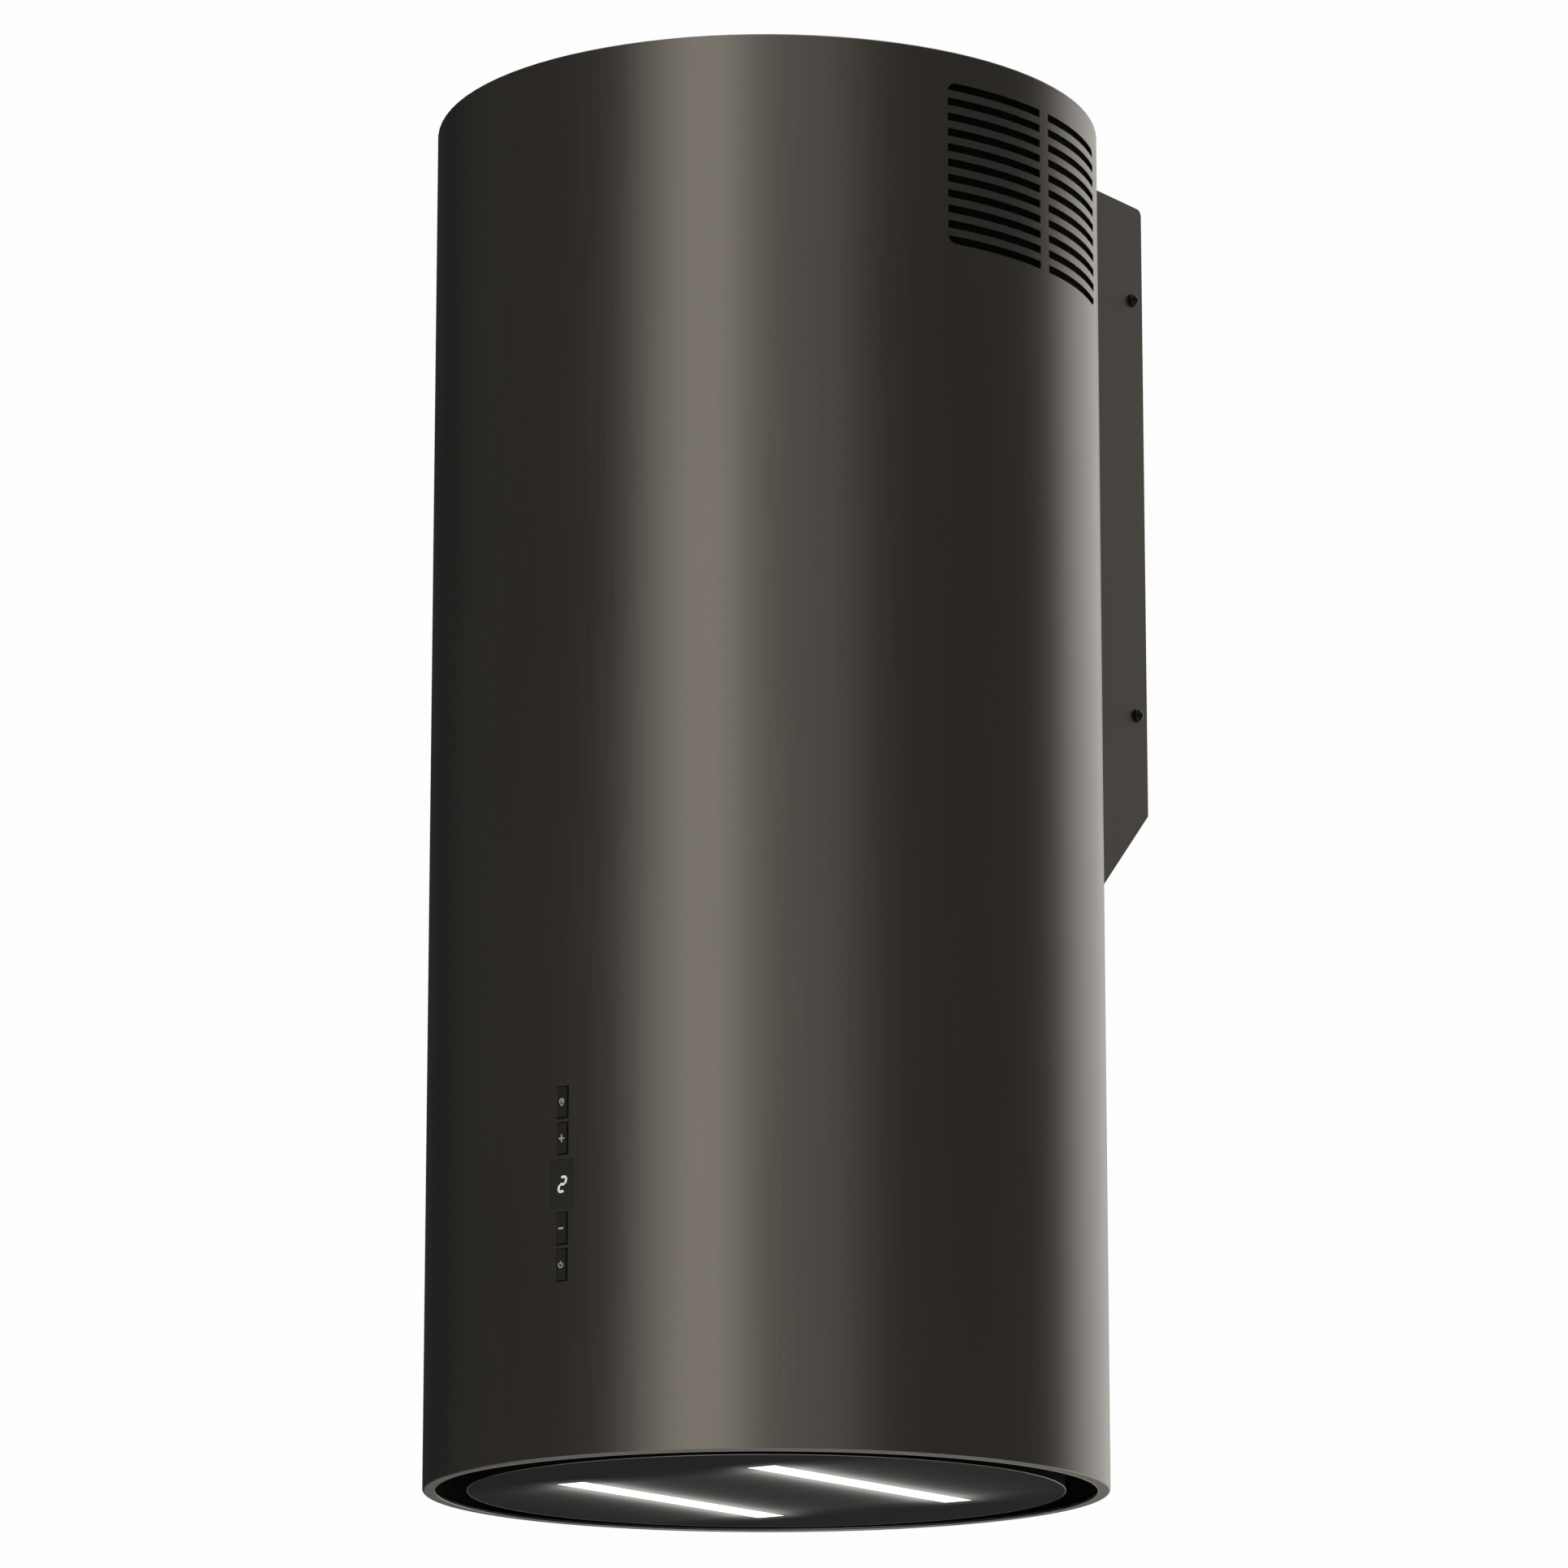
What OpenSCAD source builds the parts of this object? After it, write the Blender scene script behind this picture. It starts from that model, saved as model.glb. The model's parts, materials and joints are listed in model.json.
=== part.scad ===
// Cylinder range hood on a wall bracket.
// The origin is the middle of the wall plate's rear face. +Y points into the wall,
// the controls face -Y and +Z is up. Most parts are drawn in the tube's own frame,
// whose origin is on the tube's axis at its lower edge.

/* [Tube] */
// Outer diameter of the tube
tube_d = 390; // [386:1:400]
// Height of the tube
tube_h = 803; // [790:1:840]
// Thickness of the tube's sheet
tube_t = 1.2; // [1:0.1:1.5]
// Width of the lower edge, the sheet and the ring welded inside it
rim_w = 7; // [6:0.5:8]
// Width of the suction gap between the lower edge and the panel
gap_w = 18.5; // [16:0.5:20]

/* [Grilles] */
// Slots in each column
slot_count = 11; // [7:1:12]
// Height of a slot
slot_h = 4.6; // [3:0.1:6]
// Distance from one slot to the next
slot_pitch = 9.1; // [8:0.1:10]
// Width of a whole grille, two columns
grille_w = 153; // [120:1:156]
// Width of the strip between the two columns
strip_w = 8.5; // [6:0.5:12]
// From the tube's top to the middle of the highest slot
grille_drop = 21; // [18:1:26]

/* [Controls] */
// Height of the middle of the controls above the lower edge
control_z = 151; // [145:1:170]
// Width of a key's window
key_window_w = 8; // [7:0.5:10]
// Height of a key's window
key_window_h = 18.2; // [16:0.1:18.6]
// Distance between neighbouring keys
key_pitch = 20.2; // [20:0.1:21]
// Gap around a key
key_gap = 0.6; // [0.4:0.1:0.8]
// How far a key stands out of the tube
key_proud = 0.9; // [0.5:0.1:1.2]
// Width of the display window
display_w = 15; // [12:0.5:16]
// Height of the display window
display_h = 26.4; // [22:0.2:27]

/* [Light bars] */
// Length of a light bar
bar_l = 196; // [180:1:200]
// Width of a light bar
bar_w = 18.6; // [14:0.2:20]
// Distance between the middles of the two bars
bar_spacing = 131; // [120:1:140]

/* [Wall bracket] */
// Distance from the tube's back to the wall
standoff = 47; // [45:1:60]
// Width of the bracket box
box_w = 220; // [200:2:230]
// Height of the bracket box at the wall
box_h = 380; // [360:2:400]
// Thickness of the bracket box's sheet
box_t = 1.5; // [1.2:0.1:2]
// Thickness of the wall plate
wall_plate_t = 2; // [1.5:0.1:3]
// Width between the wall holes
wall_hole_x = 160; // [120:5:170]
// Height between the wall holes
wall_hole_z = 280; // [240:5:300]
// Diameter of a wall hole
wall_hole_d = 8; // [6:0.5:9]
// Height between the two screws on a side
side_screw_z = 260; // [220:5:290]
// From the wall to the side screws
side_screw_y = 11.5; // [9:0.5:14]

/* [Air path] */
// Outer diameter of the duct collar
duct_d = 150; // [140:1:150]
// Height of the partition deck above the lower edge
deck_z = 470; // [468:1:480]
// Height of the intake deck above the lower edge
intake_z = 60; // [60:1:64]

/* [Hidden] */
$fn = 96;

// Tube
tube_r = tube_d / 2;
tube_in = tube_r - tube_t;
rim_in = tube_r - rim_w;
ring_t = 1.5;
lip_in = tube_r - 14;
bend_r = 1.2;
axis_y = tube_r + standoff;
tube_mid = tube_h - box_h / 2;
corner_r = 5;
screen_span = 2 * asin(grille_w / tube_d) + 4;

// Lid
lid_t = 1.5;
lid_screw_r = tube_r - 8;
duct_hole_r = duct_d / 2 + 5;

// Wall bracket
box_top = tube_h;
box_low = tube_h - box_h;
box_x = box_w / 2;
wall_y = axis_y;
box_rear = wall_y - 0.5;
box_corner = 4;
web_r = tube_r + 0.05;
bolt_angles = [90 - 22, 90 + 22];
bolt_zs = [415, 740];
grommet_z = 540;

// Panel
panel_r = rim_in - gap_w;
panel_t = 1.5;
face_z = 0.3;
panel_in = face_z + panel_t;
skirt_z = 13;
hinge_y = 150;
hinge_z = 8;
hinge_x = 40;
pin_r = 2;
hinge_clear = 0.06;
magnet_pos = [60, -130];

// Intake deck and grease filter
pan_r = tube_r - 3.5;
deck_t = 1.5;
filter_x = 125;
filter_front = -110;
filter_rear = 100;
filter_low = intake_z - 9;
filter_top = intake_z - 0.05;
latch_z = intake_z - 6;

// Fan
fan_y = 62;
fan_z = 300;
wheel_r = 75;
wheel_half = 58;
blade_count = 36;
blade_l = 16;
shaft_r = 4;
scroll_half = 64;
scroll_t = 1.2;
scroll_small = 86;
scroll_large = 138;
tongue_a = 480;
channel_top = 405;
side_plate_r = 62;

// Outlet
collar_r = duct_d / 2;
collar_t = 1.5;
collar_h = 85;
spindle_z = deck_z + 28;
spindle_r = 2.5;
knuckle_r = 4.5;
knuckle_pitch = 40;
knuckle_l = 18.8;
flap_r = collar_r - 3;
flap_t = 1.2;

// Controls
carrier_front = -tube_in + 1;
key_w = key_window_w - 2 * key_gap;
key_h = key_window_h - 2 * key_gap;
display_offset = key_pitch + 4.8;
board_y = -180;
window_front = -tube_r + 0.2;

// Moves a part from the tube's frame to the hood's frame
module in_tube() translate([0, -axis_y, -tube_mid]) children();

// Lays a flat (y, z) outline across X, centred
module across(width) rotate([90, 0, 90]) linear_extrude(width, center = true) children();

// Moves to the fan's axis, which becomes the local Z axis
module at_fan() in_tube() translate([0, fan_y, fan_z]) rotate([0, 90, 0]) children();

// A ring about the Z axis
module ring(r_out, r_in, h) difference() {
    cylinder(h, r = r_out);
    translate([0, 0, -1]) cylinder(h + 2, r = r_in);
}

// A part of a ring, centred on an angle
module ring_part(r_out, r_in, h, middle, span)
    rotate([0, 0, middle - span / 2]) rotate_extrude(angle = span)
        translate([r_in, 0]) square([r_out - r_in, h]);

// Points of an arc
function arc(c, r, from, to, steps = 4) =
    [for (i = [0:steps]) let (a = from + (to - from) * i / steps) c + r * [cos(a), sin(a)]];

// A pan head screw: the head above z = 0, the shank below, with a cross recess
module pan_screw(d, l, head_d, head_h) difference() {
    union() {
        translate([0, 0, -l]) cylinder(l + 0.5, r = d / 2);
        rotate_extrude() polygon([[0, 0], [head_d / 2, 0], [head_d / 2, head_h * 0.45],
            [head_d * 0.42, head_h * 0.8], [head_d * 0.28, head_h], [0, head_h]]);
    }
    for (a = [0, 90]) rotate([0, 0, a])
        translate([0, 0, head_h]) cube([head_d * 0.5, head_d * 0.12, head_h * 0.9], center = true);
}

// ---------- Tube and lid ----------

// The sheet's section: rounded lower edge, wall, folded upper edge
module tube_section() polygon(concat(
    arc([tube_in, tube_t], tube_t, -90, 0),
    arc([tube_r - bend_r, tube_h - bend_r], bend_r, 0, 90),
    [[lip_in, tube_h], [lip_in, tube_h - tube_t], [tube_in, tube_h - tube_t]]
));

// One grille as a flat (y, z) pattern, its outer corners rounded
module grille_pattern() {
    top_z = tube_h - grille_drop + slot_h / 2;
    low_z = top_z - (slot_count - 1) * slot_pitch - slot_h;
    half = grille_w / 2;
    intersection() {
        for (i = [0:slot_count - 1], side = [-1, 1])
            translate([side * (half + strip_w / 2) / 2, top_z - slot_h / 2 - i * slot_pitch])
                square([half - strip_w / 2, slot_h], center = true);
        polygon(concat(
            arc([half - corner_r, low_z + corner_r], corner_r, -90, 0),
            arc([half - corner_r, top_z - corner_r], corner_r, 0, 90),
            arc([corner_r - half, top_z - corner_r], corner_r, 90, 180),
            arc([corner_r - half, low_z + corner_r], corner_r, 180, 270)
        ));
    }
}

// Heights of the keys' middles: light, plus, minus, power
function key_z(i) = control_z + [display_offset + key_pitch, display_offset,
    -display_offset, -display_offset - key_pitch][i];

module outer_tube() color("#3b3935") in_tube() difference() {
    rotate_extrude() tube_section();
    across(tube_d + 20) grille_pattern();
    for (i = [0:3]) translate([0, -tube_r, key_z(i)])
        cube([key_window_w, 20, key_window_h], center = true);
    translate([0, -tube_r, control_z]) cube([display_w + 0.2, 20, display_h + 0.2], center = true);
    bolt_holes(3.2);
    for (i = [0:5]) rotate([0, 0, 30 + 60 * i])
        translate([lid_screw_r, 0, tube_h - 10]) cylinder(20, r = 2.1);
    translate([0, tube_r, grommet_z]) rotate([90, 0, 0]) cylinder(20, r = 8, center = true);
}

// Flat ring welded into the tube's lower end, which carries the intake pan
module rim_ring() color("#45423d") in_tube() rotate_extrude() polygon(concat(
    arc([rim_in + 0.4, 0.4], 0.4, 180, 270),
    [[tube_in, 0], [tube_in, ring_t], [rim_in, ring_t]]
));

// Black gauze behind each grille, in a frame that lies against the tube
module grille_screens() color("#0c0c0c") in_tube() {
    low_z = tube_h - grille_drop - (slot_count - 1) * slot_pitch - 8;
    screen_h = (slot_count - 1) * slot_pitch + 16;
    for (middle = [0, 180]) translate([0, 0, low_z]) difference() {
        ring_part(tube_in - 0.1, tube_in - 2.4, screen_h, middle, screen_span);
        translate([0, 0, 3]) ring_part(tube_in + 1, tube_in - 1.4, screen_h - 6, middle, screen_span - 2);
    }
}

module top_lid() color("#34322f") in_tube() translate([0, 0, tube_h - tube_t - lid_t])
    difference() {
        union() {
            cylinder(lid_t, r = tube_in - 0.3);
            translate([0, 0, -12]) ring(duct_hole_r + 1.5, duct_hole_r, 12 + lid_t);
        }
        translate([0, 0, -1]) cylinder(lid_t + 2, r = duct_hole_r);
        for (i = [0:5]) rotate([0, 0, 30 + 60 * i])
            translate([lid_screw_r, 0, -1]) cylinder(lid_t + 2, r = 1.5);
    }

module lid_screws() color("#77736c") in_tube()
    for (i = [0:5]) rotate([0, 0, 30 + 60 * i])
        translate([lid_screw_r, 0, tube_h]) pan_screw(3, 9, 6.5, 1.6);

// ---------- Wall bracket ----------

// The bracket box's side in (y, z), in the tube's frame, smaller by an inset
module box_outline(inset) {
    rear = box_rear;
    low = box_low + inset * sqrt(2);
    reach = rear - 100;
    polygon(concat(
        [[100, low - reach], [rear, low]],
        arc([rear - box_corner, box_top - inset - box_corner + 0.01], box_corner, 0, 90),
        [[100, box_top - inset]]
    ));
}

// Holes through the tube, the box's front web and the stiffeners
module bolt_holes(r)
    for (a = bolt_angles, z = bolt_zs) rotate([0, 0, a])
        translate([tube_r, 0, z]) rotate([0, 90, 0]) cylinder(24, r = r, center = true);

module bracket_box() color("#403c36") in_tube() difference() {
    union() {
        difference() {
            across(box_w) box_outline(0);
            across(box_w - 2 * box_t) union() {
                box_outline(box_t);
                translate([box_rear - 5, box_low + 5]) square([20, box_h - 12]);
            }
        }
        intersection() {
            ring(web_r + box_t, web_r, tube_h + 1);
            across(box_w) box_outline(0);
        }
    }
    translate([0, 0, -1]) cylinder(tube_h + 10, r = web_r);
    bolt_holes(3.2);
    translate([0, tube_r, grommet_z]) rotate([90, 0, 0]) cylinder(20, r = 8, center = true);
    side_screw_places() translate([0, 0, -5]) cylinder(10, r = 2.2);
}

// Places of the side screws, each with local +Z out of the box's side
module side_screw_places()
    for (side = [-1, 1], z = [-1, 1])
        translate([side * box_x, wall_y - side_screw_y, tube_mid + z * side_screw_z / 2])
            rotate([0, side * 90, 0]) children();

module wall_plate() color("#8b8a86") in_tube() difference() {
    outer_x = box_x - box_t - 0.2;
    half_h = box_h / 2 - 7;
    translate([-outer_x, wall_y - 25, tube_mid - half_h]) cube([2 * outer_x, 25, 2 * half_h]);
    translate([-outer_x + wall_plate_t, wall_y - 26, tube_mid - half_h - 1])
        cube([2 * (outer_x - wall_plate_t), 26 - wall_plate_t, 2 * half_h + 2]);
    for (x = [-1, 1], z = [-1, 1])
        translate([x * wall_hole_x / 2, wall_y, tube_mid + z * wall_hole_z / 2])
            rotate([90, 0, 0]) cylinder(20, r = wall_hole_d / 2, center = true);
    translate([-45, wall_y - 10, grommet_z - 30]) cube([90, 20, 60]);
    translate([-45, wall_y - 10, tube_mid + 45]) cube([90, 20, 90]);
    side_screw_places() translate([0, 0, -8]) cylinder(10, r = 2);
}

module side_screws() color("#1d1c1a") in_tube() side_screw_places() pan_screw(3.9, 10, 8, 2.6);

module stiffener_plates() color("#8b8a86") in_tube() difference() {
    for (z = bolt_zs) translate([0, 0, z - 35])
        ring_part(tube_in - 0.1, tube_in - 2.1, 70, 90, 70);
    bolt_holes(3.2);
}

// Bolts from inside the tube, each with its nut in the bracket box
module bracket_bolts() color("#9a9994") in_tube()
    for (a = bolt_angles, z = bolt_zs) rotate([0, 0, a]) translate([0, 0, z]) rotate([0, 90, 0]) {
        translate([0, 0, tube_in - 6.2]) cylinder(4, r = 5.8, $fn = 6);
        translate([0, 0, tube_in - 3]) cylinder(13, r = 3);
        translate([0, 0, web_r + box_t + 0.1]) cylinder(5, r = 5.8, $fn = 6);
    }

// Rubber grommet for the mains cable, from the tube into the bracket box, belled inside the tube
module cable_grommet() color("#161615") in_tube() translate([0, 0, grommet_z])
    rotate([-90, 0, 0]) rotate_extrude()
        polygon([[5, tube_r + 0.2], [7.5, tube_in - 4], [9, tube_in - 4], [11, tube_in - 3],
            [11, tube_in - 0.8], [7.9, tube_in - 0.8], [7.9, web_r + box_t + 0.5],
            [11, web_r + box_t + 0.5], [11, web_r + box_t + 2], [9, web_r + box_t + 3],
            [5, web_r + box_t + 3]]);

// ---------- Intake pan and grease filter ----------

module intake_pan() color("#1c1b19") in_tube() difference() {
    rotate_extrude() polygon([
        [pan_r - 1.5, ring_t], [pan_r, ring_t], [pan_r, intake_z + deck_t],
        [0, intake_z + deck_t], [0, intake_z], [pan_r - 1.5, intake_z]
    ]);
    translate([0, (filter_front + filter_rear) / 2 + 4, intake_z])
        cube([2 * filter_x - 16, 176, 20], center = true);
}

// Rear hooks and front keeper, which hold the grease filter under the deck
module filter_holders() color("#8b8a86") in_tube() {
    for (side = [-1, 1]) translate([side * 60 - 12, 0, 0]) {
        translate([0, filter_rear + 0.6, filter_low - 1.6]) cube([24, 1.5, intake_z - filter_low + 1.6]);
        translate([0, filter_rear - 8, filter_low - 1.6]) cube([24, 9, 1.5]);
    }
    translate([-20, filter_front - 12, latch_z - 1.7]) cube([40, 1.5, intake_z - latch_z + 1.7]);
    translate([-20, filter_front - 12, latch_z - 1.7]) cube([40, 10, 1.5]);
}

module filter_frame() color("#a9abab") in_tube() difference() {
    translate([-filter_x, filter_front, filter_low])
        cube([2 * filter_x, filter_rear - filter_front, filter_top - filter_low]);
    translate([15 - filter_x, filter_front + 30, filter_low - 1])
        cube([2 * (filter_x - 15), filter_rear - filter_front - 45, 20]);
    translate([4 - filter_x, filter_front + 26, filter_low + 1.5])
        cube([2 * (filter_x - 4), filter_rear - filter_front - 30, filter_top - filter_low - 3]);
    // pocket of the latch, and the slot that its pull moves in
    translate([-15.4, filter_front - 1, latch_z - 0.2]) cube([30.8, 24, 3.4]);
    translate([-12.4, filter_front + 5.5, filter_low - 1]) cube([24.8, 16, 5]);
}

module filter_mesh() color("#b9bbbb") in_tube()
    translate([4.2 - filter_x, filter_front + 26.2, filter_low + 1.6])
        cube([2 * (filter_x - 4.2), filter_rear - filter_front - 30.4, filter_top - filter_low - 3.2]);

module filter_latch() color("#2a2a2a") in_tube() {
    translate([-15, filter_front - 8, latch_z]) cube([30, 17, 3]);
    translate([-12, filter_front + 6, latch_z - 9]) cube([24, 3, 9.5]);
    translate([-12, filter_front + 6, latch_z - 9]) cube([24, 7, 2.5]);
}

// Spring of the latch, as the cylinder that it fills
module latch_spring() color("#c8c8c4") in_tube()
    translate([0, filter_front + 9, latch_z + 1.5]) rotate([-90, 0, 0]) cylinder(14, r = 1.4);

// ---------- Bottom panel ----------

module magnet_catches() color("#dcdad4") in_tube()
    for (side = [-1, 1]) translate([side * magnet_pos.x, magnet_pos.y, 0]) {
        translate([0, 0, panel_in + 1.6]) cylinder(9, r = 8);
        translate([0, 0, panel_in + 10]) cylinder(intake_z - panel_in - 10, r = 4);
    }

module striker_plates() color("#9fa0a0") in_tube()
    for (side = [-1, 1])
        translate([side * magnet_pos.x, magnet_pos.y, panel_in]) cylinder(1.5, r = 10);

module hinge_brackets() color("#8b8a86") in_tube()
    for (side = [-1, 1]) translate([side * hinge_x, hinge_y, 0]) difference() {
        union() {
            across(5) {
                translate([0, hinge_z]) circle(4.5);
                translate([-4.5, hinge_z]) square([9, intake_z - hinge_z]);
            }
            translate([-10, -9, intake_z - 1.5]) cube([20, 18, 1.5]);
        }
        translate([0, 0, hinge_z]) rotate([0, 90, 0])
            cylinder(20, r = pin_r + hinge_clear, center = true);
    }

module hinge_leaves() color("#8b8a86") in_tube()
    for (side = [-1, 1], ear = [-1, 1]) translate([side * hinge_x + ear * 5, hinge_y, 0])
        difference() {
            union() {
                across(4) {
                    translate([0, hinge_z]) circle(4.5);
                    translate([-4.5, panel_in]) square([9, hinge_z - panel_in]);
                }
                translate([ear * 4 - 6, -18, panel_in]) cube([12, 22, 1.5]);
            }
            translate([ear * -12, 0, hinge_z]) rotate([0, 90, 0])
                cylinder(60, r = pin_r, center = true);
        }

module hinge_pins() color("#c4c4c0") in_tube()
    for (side = [-1, 1]) translate([side * hinge_x, hinge_y, hinge_z]) rotate([0, side * 90, 0]) {
        translate([0, 0, -8]) cylinder(15.2, r = pin_r);
        translate([0, 0, 7]) cylinder(1.6, r = 3.4);
    }

module bottom_panel() color("#242424") in_tube() difference() {
    rotate_extrude() polygon([
        [0, face_z], [panel_r - 0.5, face_z], [panel_r, face_z + 0.5], [panel_r, skirt_z],
        [panel_r - panel_t, skirt_z], [panel_r - panel_t, panel_in], [0, panel_in]
    ]);
    for (side = [-1, 1]) translate([side * bar_spacing / 2, 0, 0])
        cube([bar_w + 0.2, bar_l + 0.2, 20], center = true);
    translate([-75, 100, panel_in]) cube([150, 100, 20]);
}

// Aluminium channels of the light bars
module led_channels() color("#b4b6b6") in_tube() for (side = [-1, 1])
    translate([side * bar_spacing / 2, 0, panel_in]) difference() {
        translate([-bar_w / 2 - 3.4, -bar_l / 2 - 4, 0]) cube([bar_w + 6.8, bar_l + 8, 12]);
        translate([-bar_w / 2 - 2.2, -bar_l / 2 - 2.8, -1]) cube([bar_w + 4.4, bar_l + 5.6, 11.8]);
    }

// Strip boards with their diodes, under the roofs of the channels
module led_strips() color("#e6e4da") in_tube()
    for (side = [-1, 1]) translate([side * bar_spacing / 2, 0, panel_in + 10.8]) {
        translate([-6, 3 - bar_l / 2, -1.2]) cube([12, bar_l - 6, 1.2]);
        for (i = [0:11]) translate([-1.75, (i - 5.5) * 15 - 1.75, -2]) cube([3.5, 3.5, 1]);
    }

module diffuser(side) color("#fbfbf6") in_tube()
    translate([side * bar_spacing / 2, 0, face_z]) {
        translate([-bar_w / 2, -bar_l / 2, 0]) cube([bar_w, bar_l, panel_t + 0.5]);
        translate([-bar_w / 2 - 2, -bar_l / 2 - 2.6, panel_t]) cube([bar_w + 4, bar_l + 5.2, 1.2]);
    }
module diffuser_left() diffuser(-1);
module diffuser_right() diffuser(1);

// ---------- Partition deck ----------

module partition_deck() color("#8b8a86") in_tube() difference() {
    rotate_extrude() polygon([
        [70, deck_z], [tube_in - 3.8, deck_z], [tube_in - 3.8, deck_z + 16],
        [tube_in - 5.3, deck_z + 16], [tube_in - 5.3, deck_z + deck_t], [70, deck_z + deck_t]
    ]);
    deck_screw_places() translate([0, 0, -5]) cylinder(10, r = 2.2);
}

module deck_seal() color("#2b2b29") in_tube() translate([0, 0, deck_z + 2])
    ring(tube_in - 0.1, tube_in - 3.7, 12);

module deck_screw_places()
    for (i = [0:3]) rotate([0, 0, 45 + 90 * i]) translate([tube_in - 10, 0, deck_z]) children();

// Angle tabs spot-welded to the tube, which carry the deck
module deck_tabs() color("#8b8a86") in_tube() difference() {
    for (i = [0:3]) rotate([0, 0, 42 + 90 * i]) rotate_extrude(angle = 6) polygon([
        [tube_in - 0.1, deck_z - 30], [tube_in - 0.1, deck_z - 0.05], [tube_in - 16, deck_z - 0.05],
        [tube_in - 16, deck_z - 1.55], [tube_in - 1.6, deck_z - 1.55], [tube_in - 1.6, deck_z - 30]
    ]);
    deck_screw_places() translate([0, 0, -5]) cylinder(10, r = 2);
}

module deck_screws() color("#9a9994") in_tube()
    deck_screw_places() translate([0, 0, deck_t]) pan_screw(3.9, 8, 8, 2.4);

// ---------- Fan ----------

// Spiral outline of the scroll and its outlet channel in (y, z), larger by an amount
module scroll_outline(grow, top) {
    tongue = [fan_y + scroll_small * cos(tongue_a), fan_z + scroll_small * sin(tongue_a)];
    shrink = (scroll_large - scroll_small) / (tongue_a - 180);
    polygon(concat(
        [[fan_y - scroll_large - grow, top]],
        [for (a = [180:10:tongue_a - 10]) let (r = scroll_large - shrink * (a - 180) + grow)
            [fan_y + r * cos(a), fan_z + r * sin(a)]],
        [tongue + [grow, 1.9 * grow], [tongue.x + grow, top]]
    ));
}

// One half of the scroll: a side plate with its inlet, and half of the spiral wall
module scroll(side) color("#a3a5a5") in_tube() difference() {
    translate([side * (scroll_half + scroll_t) / 2, 0, 0])
        across(scroll_half + scroll_t) scroll_outline(scroll_t, channel_top);
    translate([side * (scroll_half - 10) / 2, 0, 0])
        across(scroll_half + 10) scroll_outline(0, channel_top + 10);
    translate([0, fan_y, fan_z]) rotate([0, 90, 0])
        cylinder(400, r = side_plate_r + 0.4, center = true);
}
module scroll_left() scroll(-1);
module scroll_right() scroll(1);

// Bell-mouthed ring in each inlet
module inlet_rings() color("#2e2e2c") at_fan() for (side = [0, 1]) mirror([0, 0, side]) {
    plate = scroll_half + scroll_t + 0.05;
    rotate_extrude() polygon(concat(
        [[side_plate_r + 6, plate + 1.25], [side_plate_r - 1.4, plate + 1.25]],
        [[side_plate_r - 3.4, plate - 3], [side_plate_r - 4, wheel_half - 1]],
        [[side_plate_r - 2.6, wheel_half - 1], [side_plate_r - 1.8, plate - 3]],
        [[side_plate_r, plate], [side_plate_r + 6, plate]]
    ));
}

// Double-sided wheel: middle disc, a ring of curved blades, two end rings and a hub
module impeller() color("#24282b") at_fan() difference() {
    union() {
        translate([0, 0, -0.75]) cylinder(1.5, r = wheel_r - 2);
        translate([0, 0, 2 - wheel_half]) linear_extrude(2 * wheel_half - 4)
            for (i = [0:blade_count - 1]) rotate([0, 0, i * 360 / blade_count])
                translate([wheel_r - 8, 0]) rotate([0, 0, 62]) square([1.1, blade_l], center = true);
        for (z = [-wheel_half, wheel_half - 3]) translate([0, 0, z]) ring(wheel_r, wheel_r - 5, 3);
        translate([0, 0, -14]) cylinder(16, r = 11);
    }
    translate([0, 0, -30]) cylinder(60, r = shaft_r);
}

module fan_shaft() color("#c4c4c0") at_fan() {
    translate([0, 0, -16]) cylinder(80, r = shaft_r);
    translate([0, 0, -18]) cylinder(3.9, r = 6.4, $fn = 6);
}

// Motor: can, end shields, bearing boss and three fixing studs' lugs
module motor() color("#6f7376") at_fan() difference() {
    union() {
        translate([0, 0, 6]) cylinder(10, r = 36);
        translate([0, 0, 15.9]) cylinder(34, r = 43);
        translate([0, 0, 49.8]) cylinder(10, r = 36);
        translate([0, 0, 59.7]) cylinder(8.4, r = 16);
        translate([0, 0, 3.5]) cylinder(3, r = 12);
    }
    cylinder(66, r = shaft_r + 0.06);
}

// Places of the motor bracket's feet around the inlet
module bush_places(z)
    for (i = [0:2]) rotate([0, 0, 90 + 120 * i]) translate([side_plate_r + 14, 0, z]) children();

module motor_bracket() color("#8b8a86") at_fan() {
    z = scroll_half + scroll_t + 3;
    difference() {
        union() {
            translate([0, 0, z]) ring(side_plate_r + 19, side_plate_r + 9, 2);
            translate([0, 0, z]) cylinder(2, r = 20);
            for (i = [0:2]) rotate([0, 0, 30 + 120 * i])
                translate([10, -7, z]) cube([side_plate_r + 4, 14, 2]);
        }
        translate([0, 0, z - 1]) cylinder(4, r = 6);
        bush_places(z - 1) cylinder(4, r = 2.2);
    }
}

// Rubber bushes under the bracket's feet, with their screws' heads above it
module motor_bushes() color("#171716") at_fan()
    bush_places(scroll_half + scroll_t + 0.05) {
        cylinder(2.9, r = 5);
        cylinder(6, r = 2.1);
        translate([0, 0, 5]) cylinder(2, r = 3.6);
    }

// Round cage of charcoal, pushed on a skirt around the inlet
module charcoal_filter(side) color("#1b1b1b") at_fan() mirror([0, 0, side < 0 ? 1 : 0]) {
    translate([0, 0, scroll_half + scroll_t + 0.1]) ring(86, 83.5, 11);
    translate([0, 0, scroll_half + scroll_t + 10.9]) difference() {
        cylinder(20, r = 88);
        translate([0, 0, -1]) cylinder(13, r = 24);
        for (i = [0:11]) rotate([0, 0, 30 * i]) translate([32, -3, 17]) cube([48, 6, 10]);
    }
}
module charcoal_filter_left() charcoal_filter(-1);
module charcoal_filter_right() charcoal_filter(1);

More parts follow.
